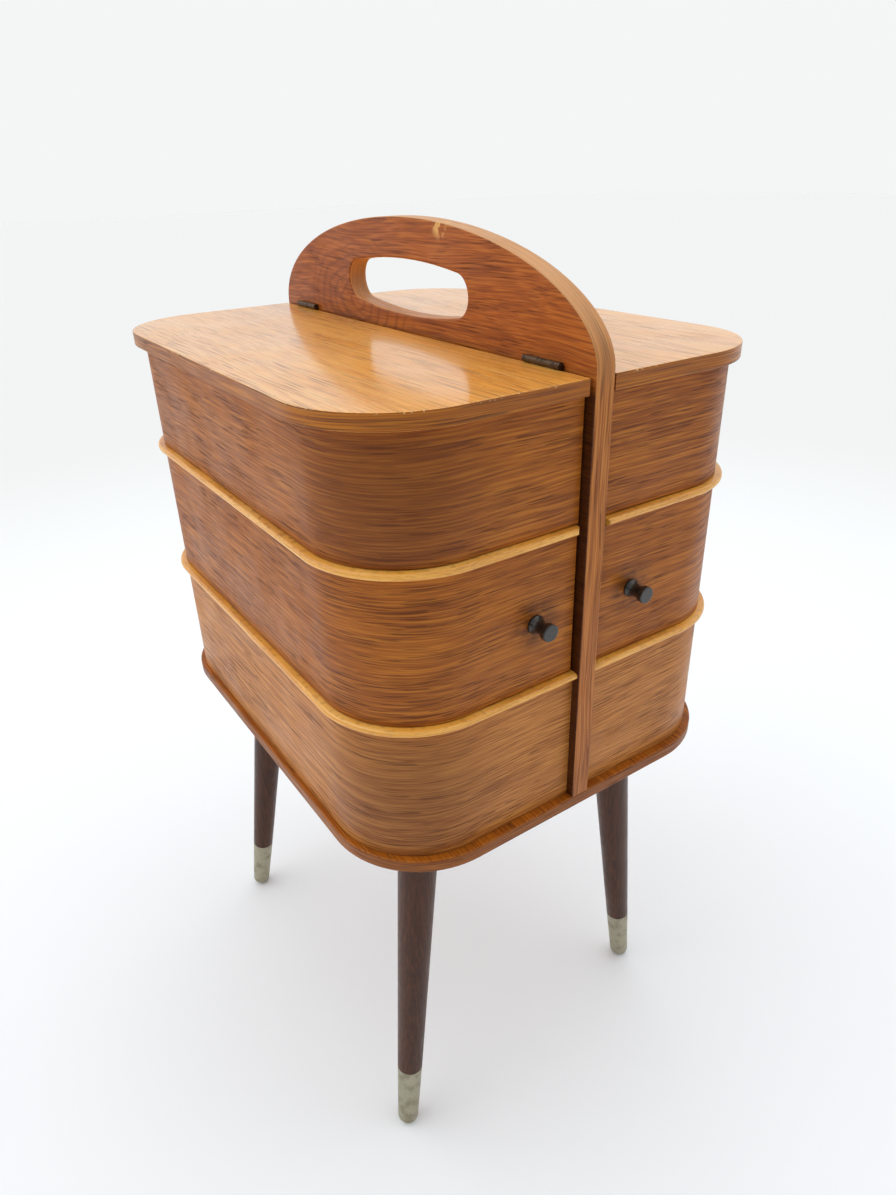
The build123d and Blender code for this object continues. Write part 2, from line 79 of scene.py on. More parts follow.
def newMaterial(name, gloss):
    # an empty material whose shader has the given constant values on its own sockets
    material = bpy.data.materials.new(name)
    material.use_nodes = True
    tree = material.node_tree
    tree.nodes.clear()
    shader = tree.nodes.new("ShaderNodeBsdfPrincipled")
    output = tree.nodes.new("ShaderNodeOutputMaterial")
    tree.links.new(shader.outputs[0], output.inputs["Surface"])
    for key, value in gloss.items():
        shader.inputs[key].default_value = hexColor(value) if isinstance(value, str) else value
    return material, tree, shader


studio = dict(
    floorSize=30.0,
    floorColor="#F6FAFD",
    farFloor="#E6E8E7",
    floorRoughness=0.8,
    fadeStart=0.5, fadeEnd=1.8,   # metres from the box over which the floor turns to its far colour, a painted falloff of light
    backdrop="#F4F6F5",
    overhead="#FFFFFF",
    level="#EDEFF2",
    behindCamera="#2E2A27",
    darkSide=(-0.5, -0.82, 0.28),   # the dark part of the tent, and how it fades
    darkFrom=0.2, darkTo=0.9,
    skyStrength=0.95,
)

cameraPlace = dict(
    x=-277.5, y=-444.6, z=604.8,   # mm
    yaw=-33.77, pitch=27.69, roll=-1.67,   # degrees
    sensor=36.0, lens=24.71,
)

lamps = {   # each is a very wide soft light, given by where it comes from
    "ceilingLight": dict(place=(-0.24, -0.12, 1.0), spread=120, strength=1.3),
    "windowLight": dict(place=(-1.0, 0.35, 0.6), spread=70, strength=0.35),
}


def makeCamera(place):
    camera = bpy.data.cameras.new("camera")
    camera.sensor_width = place["sensor"]   # along the longer side of the frame
    camera.lens = place["lens"]
    camera.clip_start = 0.01
    thing = bpy.data.objects.new("camera", camera)
    bpy.context.scene.collection.objects.link(thing)
    yaw = Matrix.Rotation(math.radians(place["yaw"]), 4, "Z")
    tilt = Matrix.Rotation(math.radians(90 - place["pitch"]), 4, "X")
    roll = Matrix.Rotation(math.radians(place["roll"]), 4, "Z")
    spot = Matrix.Translation(Vector((place["x"], place["y"], place["z"])) * mm)
    thing.matrix_world = spot @ yaw @ tilt @ roll
    bpy.context.scene.camera = thing


def makeFloor(look):
    half = look["floorSize"] / 2
    mesh = bpy.data.meshes.new("floor")
    corners = [(-half, -half, 0), (half, -half, 0), (half, half, 0), (-half, half, 0)]
    mesh.from_pydata(corners, [], [(0, 1, 2, 3)])
    floor = bpy.data.objects.new("floor", mesh)
    bpy.context.scene.collection.objects.link(floor)
    # matt paper, painted lighter round the box and darker far off
    material, tree, shader = newMaterial("paperBackdrop", {"Roughness": look["floorRoughness"]})
    place = addNode(tree, "ShaderNodeTexCoord", give="Object")
    away = addNode(tree, "ShaderNodeVectorMath", {"operation": "LENGTH"}, "Value", in0=place)
    far = addNode(tree, "ShaderNodeMapRange", {"interpolation_type": "SMOOTHSTEP"},
                  Value=away, From_Min=look["fadeStart"], From_Max=look["fadeEnd"])
    color = addNode(tree, "ShaderNodeMix", {"data_type": "RGBA"},
                    Factor=far, A=look["floorColor"], B=look["farFloor"])
    tree.links.new(color, shader.inputs["Base Color"])
    mesh.materials.append(material)


def makeSky(look):
    # a white tent, darker on the side where the person with the camera stands
    world = bpy.data.worlds.new("studio")
    bpy.context.scene.world = world
    world.use_nodes = True
    tree = world.node_tree
    tree.nodes.clear()
    way = addNode(tree, "ShaderNodeTexCoord", give="Generated")
    toCamera = addNode(tree, "ShaderNodeVectorMath", {"operation": "DOT_PRODUCT"}, "Value",
                       in0=way, in1=look["darkSide"])
    dark = addNode(tree, "ShaderNodeMapRange", {"interpolation_type": "SMOOTHSTEP"},
                   Value=toCamera, From_Min=look["darkFrom"], From_Max=look["darkTo"])
    height = addNode(tree, "ShaderNodeSeparateXYZ", give="Z", in0=way)
    up = addNode(tree, "ShaderNodeMapRange", {"interpolation_type": "SMOOTHSTEP"},
                 Value=height, From_Min=0.1, From_Max=0.9)
    tent = addNode(tree, "ShaderNodeMix", {"data_type": "RGBA"},
                   Factor=up, A=look["level"], B=look["overhead"])
    tent = addNode(tree, "ShaderNodeMix", {"data_type": "RGBA"},
                   Factor=dark, A=tent, B=look["behindCamera"])
    shine = addNode(tree, "ShaderNodeBackground", Color=tent, Strength=look["skyStrength"])
    paper = addNode(tree, "ShaderNodeBackground", Color=look["backdrop"], Strength=1.0)
    seen = addNode(tree, "ShaderNodeLightPath", give="Is Camera Ray")
    both = addNode(tree, "ShaderNodeMixShader", Fac=seen, in1=shine, in2=paper)
    addNode(tree, "ShaderNodeOutputWorld", Surface=both)


def makeLamp(name, look):
    lamp = bpy.data.lights.new(name, "SUN")
    lamp.angle = math.radians(look["spread"])
    lamp.energy = look["strength"]
    thing = bpy.data.objects.new(name, lamp)
    bpy.context.scene.collection.objects.link(thing)
    thing.rotation_euler = (-Vector(look["place"])).to_track_quat("-Z", "Y").to_euler()


makeCamera(cameraPlace)
makeFloor(studio)
makeSky(studio)
for lampName, lampLook in lamps.items():
    makeLamp(lampName, lampLook)
bpy.context.scene.view_settings.view_transform = "Standard"   # the finishes are plain sRGB colours
print("stage, light and camera are in place")


# Every wood is drawn from real sizes in mm: the figure is the broad pattern of the growth
# rings, the fibre is the fine streaking, and the pores are the short dark vessels.

def stretched(tree, place, across, width, length):
    # place divided by a width on the axes across the grain and by a length along it
    scale = [1 / width if axis in across else 1 / length for axis in "xyz"]
    return addNode(tree, "ShaderNodeVectorMath", {"operation": "MULTIPLY"}, in0=place, in1=scale)


def ramp(tree, value, low, high):
    return addNode(tree, "ShaderNodeMapRange", {"interpolation_type": "SMOOTHSTEP"},
                   Value=value, From_Min=low, From_Max=high)


def times(tree, a, b, how="MULTIPLY"):
    return addNode(tree, "ShaderNodeMath", {"operation": how}, in0=a, in1=b)


def blended(tree, share, a, b, how="MIX"):
    return addNode(tree, "ShaderNodeMix", {"data_type": "RGBA", "blend_type": how},
                   Factor=share, A=a, B=b)


def noise(tree, place, detail=2.0, rough=0.5, give="Fac"):
    return addNode(tree, "ShaderNodeTexNoise", give=give,
                   Vector=place, Scale=1.0, Detail=detail, Roughness=rough)


def grain(tree, place, look):
    # colour, height and pores of one face of a board
    across = look["across"]
    bend = [look["sway"] if axis in across else 0 for axis in "xyz"]
    swing = stretched(tree, place, across, look["swayWidth"], look["swayLength"])
    swing = noise(tree, swing, 1.0, give="Color")
    swing = addNode(tree, "ShaderNodeVectorMath", {"operation": "SUBTRACT"},
                    in0=swing, in1=(0.5, 0.5, 0.5))
    place = addNode(tree, "ShaderNodeVectorMath", {"operation": "MULTIPLY_ADD"},
                    in0=swing, in1=bend, in2=place)
    figure = stretched(tree, place, across, look["figureWidth"], look["figureLength"])
    figure = noise(tree, figure, 1.4, 0.4)
    wave = times(tree, times(tree, figure, 2 * math.pi * look["rings"]), 0.0, "SINE")
    rings = ramp(tree, wave, look["ringCut"], 1.0)
    coarse = look["streakSize"]
    streak = noise(tree, stretched(tree, place, across, look["fibreWidth"] * coarse,
                                   look["fibreLength"] * coarse), 2.0, 0.6)
    fibre = stretched(tree, place, across, look["fibreWidth"], look["fibreLength"])
    fibre = noise(tree, fibre, 1.0, 0.6)
    patch = noise(tree, stretched(tree, place, across, look["patch"], look["patch"] * 2.2), 2.0)
    dots = noise(tree, stretched(tree, place, across, look["poreWidth"], look["poreLength"]), 0.0)
    pores = ramp(tree, dots, look["poreCut"], look["poreCut"] + 0.09)
    crowd = ramp(tree, times(tree, rings, times(tree, patch, 1.3), "ADD"), 0.35, 1.2)
    pores = times(tree, pores, times(tree, times(tree, crowd, 0.6), 0.4, "ADD"))
    color = blended(tree, times(tree, rings, look["figureShare"]), look["mid"], look["dark"])
    layers = (   # each pulls the colour one way where its noise runs from the first value to the second
        (patch, 0.45, 0.7, "patchShare", "patchColor"),
        (streak, 0.5, 0.7, "streakShare", "light"), (streak, 0.5, 0.3, "streakShare", "dark"),
        (fibre, 0.5, 0.66, "fibreShare", "light"), (fibre, 0.5, 0.34, "fibreShare", "dark"),
    )
    for value, low, high, share, tone in layers:
        color = blended(tree, times(tree, ramp(tree, value, low, high), look[share]), color, look[tone])
    color = blended(tree, times(tree, pores, look["poreShare"]), color, look["pore"])
    sunk = times(tree, pores, -look["poreDepth"])
    height = times(tree, sunk, times(tree, fibre, look["fibreDepth"]), "ADD")
    return color, height, pores


def placeInMm(tree, shift=(0, 0, 0)):
    place = addNode(tree, "ShaderNodeTexCoord", give="Object")
    return addNode(tree, "ShaderNodeVectorMath", {"operation": "MULTIPLY_ADD"},
                   in0=place, in1=(1000, 1000, 1000), in2=shift)


def facing(tree, axis):
    # 1 on faces that look along an axis, 0 on those that look across it
    # the object's own normal, so that it turns with a lid
    normal = addNode(tree, "ShaderNodeTexCoord", give="Normal")
    part = addNode(tree, "ShaderNodeSeparateXYZ", give=axis.upper(), in0=normal)
    return ramp(tree, times(tree, part, 0.0, "ABSOLUTE"), 0.55, 0.8)


def near(tree, place, spot, low, high):
    # 1 at a spot, in mm, fading to 0 between two distances from it
    away = addNode(tree, "ShaderNodeVectorMath", {"operation": "DISTANCE"}, "Value", in0=place, in1=spot)
    return ramp(tree, away, high, low)


knobGrime = dict(clear=4, reach=21, share=0.75, color="#3A1B08")   # mm from the knob's middle


def addKnobStains(tree, color):
    # fingers have darkened the wood round each knob
    place = placeInMm(tree)
    grime = noise(tree, stretched(tree, place, "z", 9, 14), 3.0, 0.6)
    for side in ("left", "right"):
        low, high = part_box("knob_" + side)
        spot = ((low.x + high.x) / 2 / mm, high.y / mm, (low.z + high.z) / 2 / mm)
        around = near(tree, place, spot, knobGrime["clear"], knobGrime["reach"])
        dark = times(tree, around, ramp(tree, grime, 0.3, 0.62))
        color = blended(tree, times(tree, dark, knobGrime["share"]), color, knobGrime["color"])
    return color


lidChips = dict(deep=1.3, shallow=0.5, size=2.6, crumb=28, color="#EBC48C")   # mm


def addLidChips(tree, color):
    # the veneer is nibbled away here and there along the upper edge
    place = placeInMm(tree)
    height = addNode(tree, "ShaderNodeSeparateXYZ", give="Z", in0=place)
    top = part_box("lid_left")[1].z / mm
    rim = ramp(tree, height, top - lidChips["deep"], top - lidChips["shallow"])
    bites = noise(tree, stretched(tree, place, "xyz", lidChips["size"], lidChips["size"]), 3.0, 0.7)
    worn = noise(tree, stretched(tree, place, "xyz", lidChips["crumb"], lidChips["crumb"]), 1.0)
    bites = times(tree, ramp(tree, bites, 0.6, 0.64), ramp(tree, worn, 0.5, 0.56))
    side = times(tree, 1.0, facing(tree, "z"), "SUBTRACT")
    return blended(tree, times(tree, times(tree, rim, bites), side), color, lidChips["color"])


panelPaintedLightAndWear = dict(
    paintedShade="#280E05", paintedShadeShare=0.86,   # painted shade below the lids, as dark as the shaded recess beside the panel's front edge
    paintedSheen="#E8B47C", paintedSheenShare=0.55,   # painted sheen: the edge is lighter above the lids, where the arch top is lit from above
    loops="#6E340E", loopShare=0.42, loopPlace=34, loopDrop=52, loopSize=52, loopGap=1.1,
    chip="#E2B068", chipPlace=(-6, -40), chipDrop=3,
)


def addPanelShade(tree, color):
    # painted shade: the panel's sides are darkened below the lids
    place = placeInMm(tree)
    height = addNode(tree, "ShaderNodeSeparateXYZ", give="Z", in0=place)
    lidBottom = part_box("lid_left")[0].z / mm
    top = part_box("center_panel")[1].z / mm
    below = times(tree, ramp(tree, height, lidBottom + 7, lidBottom - 2), facing(tree, "x"))
    color = blended(tree, times(tree, below, panelPaintedLightAndWear["paintedShadeShare"]), color, panelPaintedLightAndWear["paintedShade"])
    # painted sheen on the panel's edge above the lids
    upper = ramp(tree, height, lidBottom - 10, lidBottom + 50)
    upper = times(tree, upper, facing(tree, "x"), "SUBTRACT")
    upper = times(tree, times(tree, upper, 0.0, "MAXIMUM"), panelPaintedLightAndWear["paintedSheenShare"])
    color = blended(tree, upper, color, panelPaintedLightAndWear["paintedSheen"])
    # growth rings close round the far end of the hand hole, where a knot was near
    flat = addNode(tree, "ShaderNodeVectorMath", {"operation": "MULTIPLY"}, in0=place, in1=(0, 0.6, 1))
    away = addNode(tree, "ShaderNodeVectorMath", {"operation": "DISTANCE"}, "Value", in0=flat,
                   in1=(0, panelPaintedLightAndWear["loopPlace"], top - panelPaintedLightAndWear["loopDrop"]))
    wobble = times(tree, noise(tree, stretched(tree, place, "xyz", 26, 26), 2.0), 14.0)
    loops = times(tree, times(tree, times(tree, away, wobble, "ADD"), panelPaintedLightAndWear["loopGap"]), 0.0, "SINE")
    inside = ramp(tree, away, panelPaintedLightAndWear["loopSize"], panelPaintedLightAndWear["loopSize"] / 2)
    knot = times(tree, times(tree, ramp(tree, loops, 0.1, 0.95), inside), facing(tree, "x"))
    color = blended(tree, times(tree, knot, panelPaintedLightAndWear["loopShare"]), color, panelPaintedLightAndWear["loops"])
    # a chip on the top of the arch
    worn = noise(tree, stretched(tree, place, "xyz", 5, 5), 3.0, 0.65)
    spot = (*panelPaintedLightAndWear["chipPlace"], top - panelPaintedLightAndWear["chipDrop"])
    chip = times(tree, near(tree, place, spot, 3, 9), ramp(tree, worn, 0.47, 0.52))
    return blended(tree, chip, color, panelPaintedLightAndWear["chip"])


# painted shade, and how strongly it darkens each tier's front left corner
paintedCornerShade = dict(top_wall_left=0.55, bottom_wall_left=0.5, color="#5C2C0A")


def addPaintedCornerShade(tree, color):
    # painted shade: the walls are darkened round the front left corner of the top and bottom tiers
    place = placeInMm(tree)
    for wall in ("top_wall_left", "bottom_wall_left"):
        low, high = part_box(wall)
        spot = (low.x / mm + 20, low.y / mm + 14, (low.z + high.z) / 2 / mm)
        around = near(tree, place, spot, 10, 75)
        color = blended(tree, times(tree, around, paintedCornerShade[wall]), color, paintedCornerShade["color"])
    return color


# real stains and chips, and painted shade and sheen on the walls and panel
wearAndPaintedLight = {"corner": addPaintedCornerShade, "knob": addKnobStains,
             "lidTop": addLidChips, "belowLids": addPanelShade}


def makeWood(name, look):
    material, tree, shader = newMaterial(name, look["gloss"])
    place = placeInMm(tree, look.get("shift", (0, 0, 0)))
    color, height, pores = grain(tree, place, look)
    if "edge" in look:
        edgeColor, edgeHeight, edgePores = grain(tree, place, {**look, **look["edge"]})
        onFace = facing(tree, look["faceAxis"])
        color = blended(tree, onFace, edgeColor, color)
        height = addNode(tree, "ShaderNodeMix", Factor=onFace, A=edgeHeight, B=height)
        pores = addNode(tree, "ShaderNodeMix", Factor=onFace, A=edgePores, B=pores)
        if "faceCoat" in look:   # the lacquer is built up on the face and rubbed thin on the edge
            coat = addNode(tree, "ShaderNodeMix", Factor=onFace, A=look["edgeCoat"], B=look["faceCoat"])
            tree.links.new(coat, shader.inputs["Coat Weight"])
    for key in ("stainsAndShade", "chips", "shade"):
        if key in look:
            color = wearAndPaintedLight[look[key]](tree, color)
    smudge = noise(tree, stretched(tree, place, "xyz", 38, 38), 3.0, 0.6)
    dull = times(tree, ramp(tree, smudge, 0.35, 0.7), look["roughSpread"])
    dull = times(tree, dull, times(tree, pores, 0.12), "ADD")
    tree.links.new(color, shader.inputs["Base Color"])
    tree.links.new(times(tree, dull, look["roughness"], "ADD"), shader.inputs["Roughness"])
    bump = addNode(tree, "ShaderNodeBump", Strength=1.0, Distance=mm, Height=height)
    tree.links.new(bump, shader.inputs["Normal"])
    return material


# Teak veneer, oiled and thinly lacquered: orange brown, satin, full of short open pores
teakFace = dict(
    across="z",   # the axes across the grain, and every size below is in mm
    light="#D28428", mid="#A65C14", dark="#723608", pore="#4C2208", patchColor="#8E4A14",
    swayWidth=45, swayLength=110, streakSize=4,
    sway=5, figureWidth=34, figureLength=230, rings=5, ringCut=0.1, figureShare=0.16,
    fibreWidth=1.0, fibreLength=40, fibreShare=0.42, streakShare=0.12, patch=55, patchShare=0.35,
    # real vessels are 0.2 mm wide, and are drawn wider to show
    poreWidth=0.7, poreLength=17, poreCut=0.58, poreShare=0.55,
    poreDepth=0.09, fibreDepth=0.05,
    roughness=0.36, roughSpread=0.14,
    gloss={"IOR": 1.5, "Specular IOR Level": 0.24, "Coat Weight": 0.03, "Coat Roughness": 0.25},
)

woods = {
    # the bottom tier's teak is painted lighter as a painted sheen, and has painted shade round its front left
    # corner
    "teakVeneerBottomTier": {**teakFace, "shift": (310, 40, 900), "light": "#DC9A4C", "mid": "#C27C3A",
                              "stainsAndShade": "corner"},
    "teakVeneerTrays": {**teakFace, "shift": (0, 130, 400), "stainsAndShade": "knob"},
    # painted shade round the front left corner
    "teakVeneerTopTier": {**teakFace, "shift": (90, 20, 150), "rings": 7, "figureShare": 0.22,
                          "stainsAndShade": "corner"},
    # the lids have faded in daylight to a golden brown, and their solid edge stayed darker
    "teakVeneerLids": {
        **teakFace, "across": "xz", "faceAxis": "z",
        "light": "#FFD880", "mid": "#F8AE46", "dark": "#D28220", "pore": "#6E3A0C",
        "patchColor": "#F09E38", "patchShare": 0.2,
        "figureWidth": 48, "figureLength": 400, "figureShare": 0.2,
        "fibreWidth": 0.8, "fibreLength": 80, "fibreShare": 0.34,
        "poreWidth": 0.65, "poreLength": 36, "poreShare": 0.6,
        "roughness": 0.27, "roughSpread": 0.12, "faceCoat": 0.75, "edgeCoat": 0.0,
        "gloss": {"IOR": 1.5, "Specular IOR Level": 0.32, "Coat Roughness": 0.13},
        "edge": {"across": "z", "light": "#E0901C", "mid": "#A65C08", "dark": "#6A3002", "figureWidth": 9,
                 "patchColor": "#864A18", "rings": 3, "pore": "#3A1A08"},
        "chips": "lidTop",
    },
    # crown cut veneer on the panel, with a quarter cut strip round its edge
    "teakVeneerPanel": {
        **teakFace, "across": "xz", "faceAxis": "x",
        "light": "#CC7C30", "mid": "#AA5C1E", "dark": "#74360E", "patchColor": "#984A14",
        "figureWidth": 46, "figureLength": 170, "rings": 8, "figureShare": 0.25, "sway": 12,
        "fibreLength": 50, "poreLength": 26, "patchShare": 0.2, "poreShare": 0.5,
        "edge": {"across": "x", "light": "#E0964A", "mid": "#B4692A", "dark": "#7C3E12",
                 "figureWidth": 12, "figureLength": 300, "rings": 3, "figureShare": 0.3,
                 "patchColor": "#A0652F", "poreShare": 0.5},
        "shade": "belowLids",
    },
    "teakVeneerBase": {
        **teakFace, "across": "xz", "faceAxis": "z", "fibreShare": 0.3,
        "edge": {"across": "z", "figureWidth": 8, "rings": 3, "figureShare": 0.5,
                 "mid": "#92541C", "light": "#C07830"},
    },
    # steamed beech, yellowed lacquer: even and golden, with small flecks
    "beechBead": {
        **teakFace, "light": "#FFD078", "mid": "#F4AE44", "dark": "#C67A28", "pore": "#8E5520",
        "patchColor": "#DE9C44", "figureWidth": 3, "figureLength": 260, "rings": 1.5, "figureShare": 0.5,
        "fibreWidth": 0.8, "fibreShare": 0.4, "sway": 1,
        "poreWidth": 0.5, "poreLength": 4, "poreShare": 0.35,
        "roughness": 0.3, "gloss": {"IOR": 1.5, "Coat Weight": 0.3, "Coat Roughness": 0.18},
    },
    # birch ply, raw inside the box: pale cream with a faint silky figure
    "birchPly": {
        **teakFace, "across": "xz", "faceAxis": "z",
        "light": "#E8CFA4", "mid": "#DCBE8E", "dark": "#C9A473", "pore": "#A07A4C",
        "patchColor": "#D2B07E", "figureWidth": 40, "figureLength": 260, "rings": 3, "figureShare": 0.35,
        "fibreWidth": 1.1, "poreShare": 0.3, "poreLength": 5, "roughness": 0.55, "roughSpread": 0.1,
        "gloss": {"IOR": 1.5},
        "edge": {"across": "z", "figureWidth": 3, "rings": 2.5, "figureShare": 0.6},
    },
    "birchDivider": {
        **teakFace,
        "light": "#E4C898", "mid": "#D6B684", "dark": "#C09A68", "pore": "#9A7446",
        "patchColor": "#CCA874",
        "figureWidth": 18, "figureLength": 190, "figureShare": 0.4, "poreShare": 0.3,
        "roughness": 0.55, "gloss": {"IOR": 1.5},
    },
    "beechBlock": {
        **teakFace, "across": "xy",
        "light": "#D9AE7C", "mid": "#C99A66", "dark": "#AE7D4C", "pore": "#8A5C34",
        "patchColor": "#C08F5A",
        "figureWidth": 7, "figureLength": 90, "rings": 2, "poreLength": 3, "poreShare": 0.5,
        "roughness": 0.55, "gloss": {"IOR": 1.5},
    },
    # walnut stained legs, turned and satin lacquered
    "walnutLeg": {
        **teakFace, "across": "xy",
        "light": "#64371C", "mid": "#4C2A18", "dark": "#341A0C", "pore": "#1C0C05",
        "patchColor": "#44220F",
        "figureWidth": 9, "figureLength": 210, "rings": 2, "figureShare": 0.3,
        "fibreWidth": 1.1, "fibreLength": 70, "poreWidth": 0.6, "poreLength": 12, "poreShare": 0.35,
        "roughness": 0.3, "roughSpread": 0.12, "sway": 2,
        "gloss": {"IOR": 1.5, "Specular IOR Level": 0.25, "Coat Weight": 0.1, "Coat Roughness": 0.2},
    },
}

woodMaterials = {name: makeWood(name, look) for name, look in woods.items()}
print("woods made:", len(woodMaterials))


def makeMetal(name, look):
    material, tree, shader = newMaterial(name, look["gloss"])
    place = placeInMm(tree)
    cloud = noise(tree, stretched(tree, place, "xyz", look["cloud"], look["cloud"]), 4.0, 0.6)
    speck = noise(tree, stretched(tree, place, "xyz", look["speck"], look["speck"]), 2.0)
    stain = ramp(tree, cloud, 0.45, 0.68)
    marks = ramp(tree, speck, 0.62, 0.72)
    color = blended(tree, stain, look["clean"], look["tarnish"])
    color = blended(tree, times(tree, marks, look["speckShare"]), color, look["spot"])
    dull = times(tree, times(tree, stain, look["roughSpread"]), look["roughness"], "ADD")
    tree.links.new(color, shader.inputs["Base Color"])
    tree.links.new(dull, shader.inputs["Roughness"])
    height = times(tree, times(tree, marks, -1.0), times(tree, cloud, 0.4), "ADD")
    bump = addNode(tree, "ShaderNodeBump", Strength=0.5, Distance=look["depth"] * mm, Height=height)
    tree.links.new(bump, shader.inputs["Normal"])
    return material


metals = {
    # nickel plate gone dull and olive with age, with dark specks
    "agedNickelPlate": dict(clean="#A9A38E", tarnish="#99937D", spot="#5C5544",
                            cloud=9, speck=1.3, speckShare=0.4,
                            roughness=0.4, roughSpread=0.2, depth=0.05, gloss={"Metallic": 0.9}),
    # hinge brass with a chemically browned skin
    "brownedBrass": dict(clean="#5E4A38", tarnish="#3A2E26", spot="#7E6238",
                         cloud=5, speck=0.8, speckShare=0.5,
                         roughness=0.42, roughSpread=0.2, depth=0.04, gloss={"Metallic": 0.85}),
    # pressed mild steel, zinc plated, greyed
    "zincPlatedSteel": dict(clean="#B4B6B4", tarnish="#8C8E8B", spot="#6A655C",
                            cloud=14, speck=1.6, speckShare=0.5,
                            roughness=0.38, roughSpread=0.18, depth=0.04, gloss={"Metallic": 1.0}),
    "drawnSteelRod": dict(clean="#A8AAAB", tarnish="#84868A", spot="#5E5850",
                          cloud=10, speck=1.2, speckShare=0.4,
                          roughness=0.28, roughSpread=0.15, depth=0.03, gloss={"Metallic": 1.0}),
    "rawBrass": dict(clean="#C8A050", tarnish="#9A7434", spot="#6A4A20",
                     cloud=5, speck=0.9, speckShare=0.4,
                     roughness=0.32, roughSpread=0.2, depth=0.03, gloss={"Metallic": 1.0}),
    # turned wood, dyed black and waxed: brown black with rubbed edges
    "ebonisedWood": dict(clean="#241E1B", tarnish="#191513", spot="#443A33",
                         cloud=4, speck=0.9, speckShare=0.5,
                         roughness=0.26, roughSpread=0.1, depth=0.05,
                         gloss={"IOR": 1.5, "Coat Weight": 0.3, "Coat Roughness": 0.1}),
}
metalMaterials = {name: makeMetal(name, look) for name, look in metals.items()}
materials = {**woodMaterials, **metalMaterials}

finishes = {   # the part's material slots and what they are made of
    "teak_base": "teakVeneerBase", "teak_panel": "teakVeneerPanel", "teak_lids": "teakVeneerLids",
    "beech_beads": "beechBead", "birch_floors": "birchPly", "birch_dividers": "birchDivider",
    "beech_blocks": "beechBlock", "walnut_legs": "walnutLeg", "nickel_ferrules": "agedNickelPlate",
    "ebonised_knobs": "ebonisedWood", "bronze_hinges": "brownedBrass", "steel_plates": "zincPlatedSteel",
    "steel_rods": "drawnSteelRod", "brass_washers": "rawBrass", "steel_screws": "zincPlatedSteel",
}
tierFinish = {"bottom": "teakVeneerBottomTier", "tray": "teakVeneerTrays", "top": "teakVeneerTopTier"}


def paint(name, material):
    mesh = nodes[name].data
    mesh.materials.clear()
    mesh.materials.append(material)


for row in frame["record"]["subparts"]:
    if row["material_slot"] == "teak_walls":
        paint(row["node"], materials[tierFinish[row["node"].split("_")[0]]])
    else:
        paint(row["node"], materials[finishes[row["material_slot"]]])
print("finishes are on the carried over pieces")

# One Geometry Nodes tree makes every bent strip: a board section is run round a U with two
# round corners, and its two ends by the panel may be cut back and slanted.

def newGeometryTree(name, sizes):
    tree = bpy.data.node_groups.new(name, "GeometryNodeTree")
    tree.interface.new_socket("Geometry", in_out="OUTPUT", socket_type="NodeSocketGeometry")
    tree.interface.new_socket("Points", in_out="INPUT", socket_type="NodeSocketGeometry")
    tree.interface.new_socket("Finish", in_out="INPUT", socket_type="NodeSocketMaterial")
    for size in sizes:
        tree.interface.new_socket(size, in_out="INPUT", socket_type="NodeSocketFloat")
    return tree, tree.nodes.new("NodeGroupInput").outputs


sharpAngle = 35   # degrees, past which an edge stays crisp


def endTree(tree, shape, finish):
    # smooth faces with sharp corners kept, real geometry and one finish
    shape = addNode(tree, "GeometryNodeSetShadeSmooth", {"domain": "FACE"},
                    Geometry=shape, Shade_Smooth=True)
    angle = addNode(tree, "GeometryNodeInputMeshEdgeAngle", give="Unsigned Angle")
    sharp = addNode(tree, "FunctionNodeCompare", {"operation": "GREATER_THAN"},
                    A=angle, B=math.radians(sharpAngle))
    shape = addNode(tree, "GeometryNodeSetShadeSmooth", {"domain": "EDGE"},
                    Geometry=shape, Selection=sharp, Shade_Smooth=False)
    shape = addNode(tree, "GeometryNodeRealizeInstances", Geometry=shape)
    shape = addNode(tree, "GeometryNodeSetMaterial", Geometry=shape, Material=finish)
    addNode(tree, "NodeGroupOutput", Geometry=shape)


def stored(tree, shape, name, value):
    return addNode(tree, "GeometryNodeStoreNamedAttribute", {"data_type": "FLOAT", "domain": "POINT"},
                   Geometry=shape, Name=name, Value=value)


def named(tree, name, kind="FLOAT"):
    return addNode(tree, "GeometryNodeInputNamedAttribute", {"data_type": kind}, Name=name)


stripDetail = dict(cornerSteps=32, easeSteps=5, innerEase=0.3, thickness=5.0)   # sizes in mm


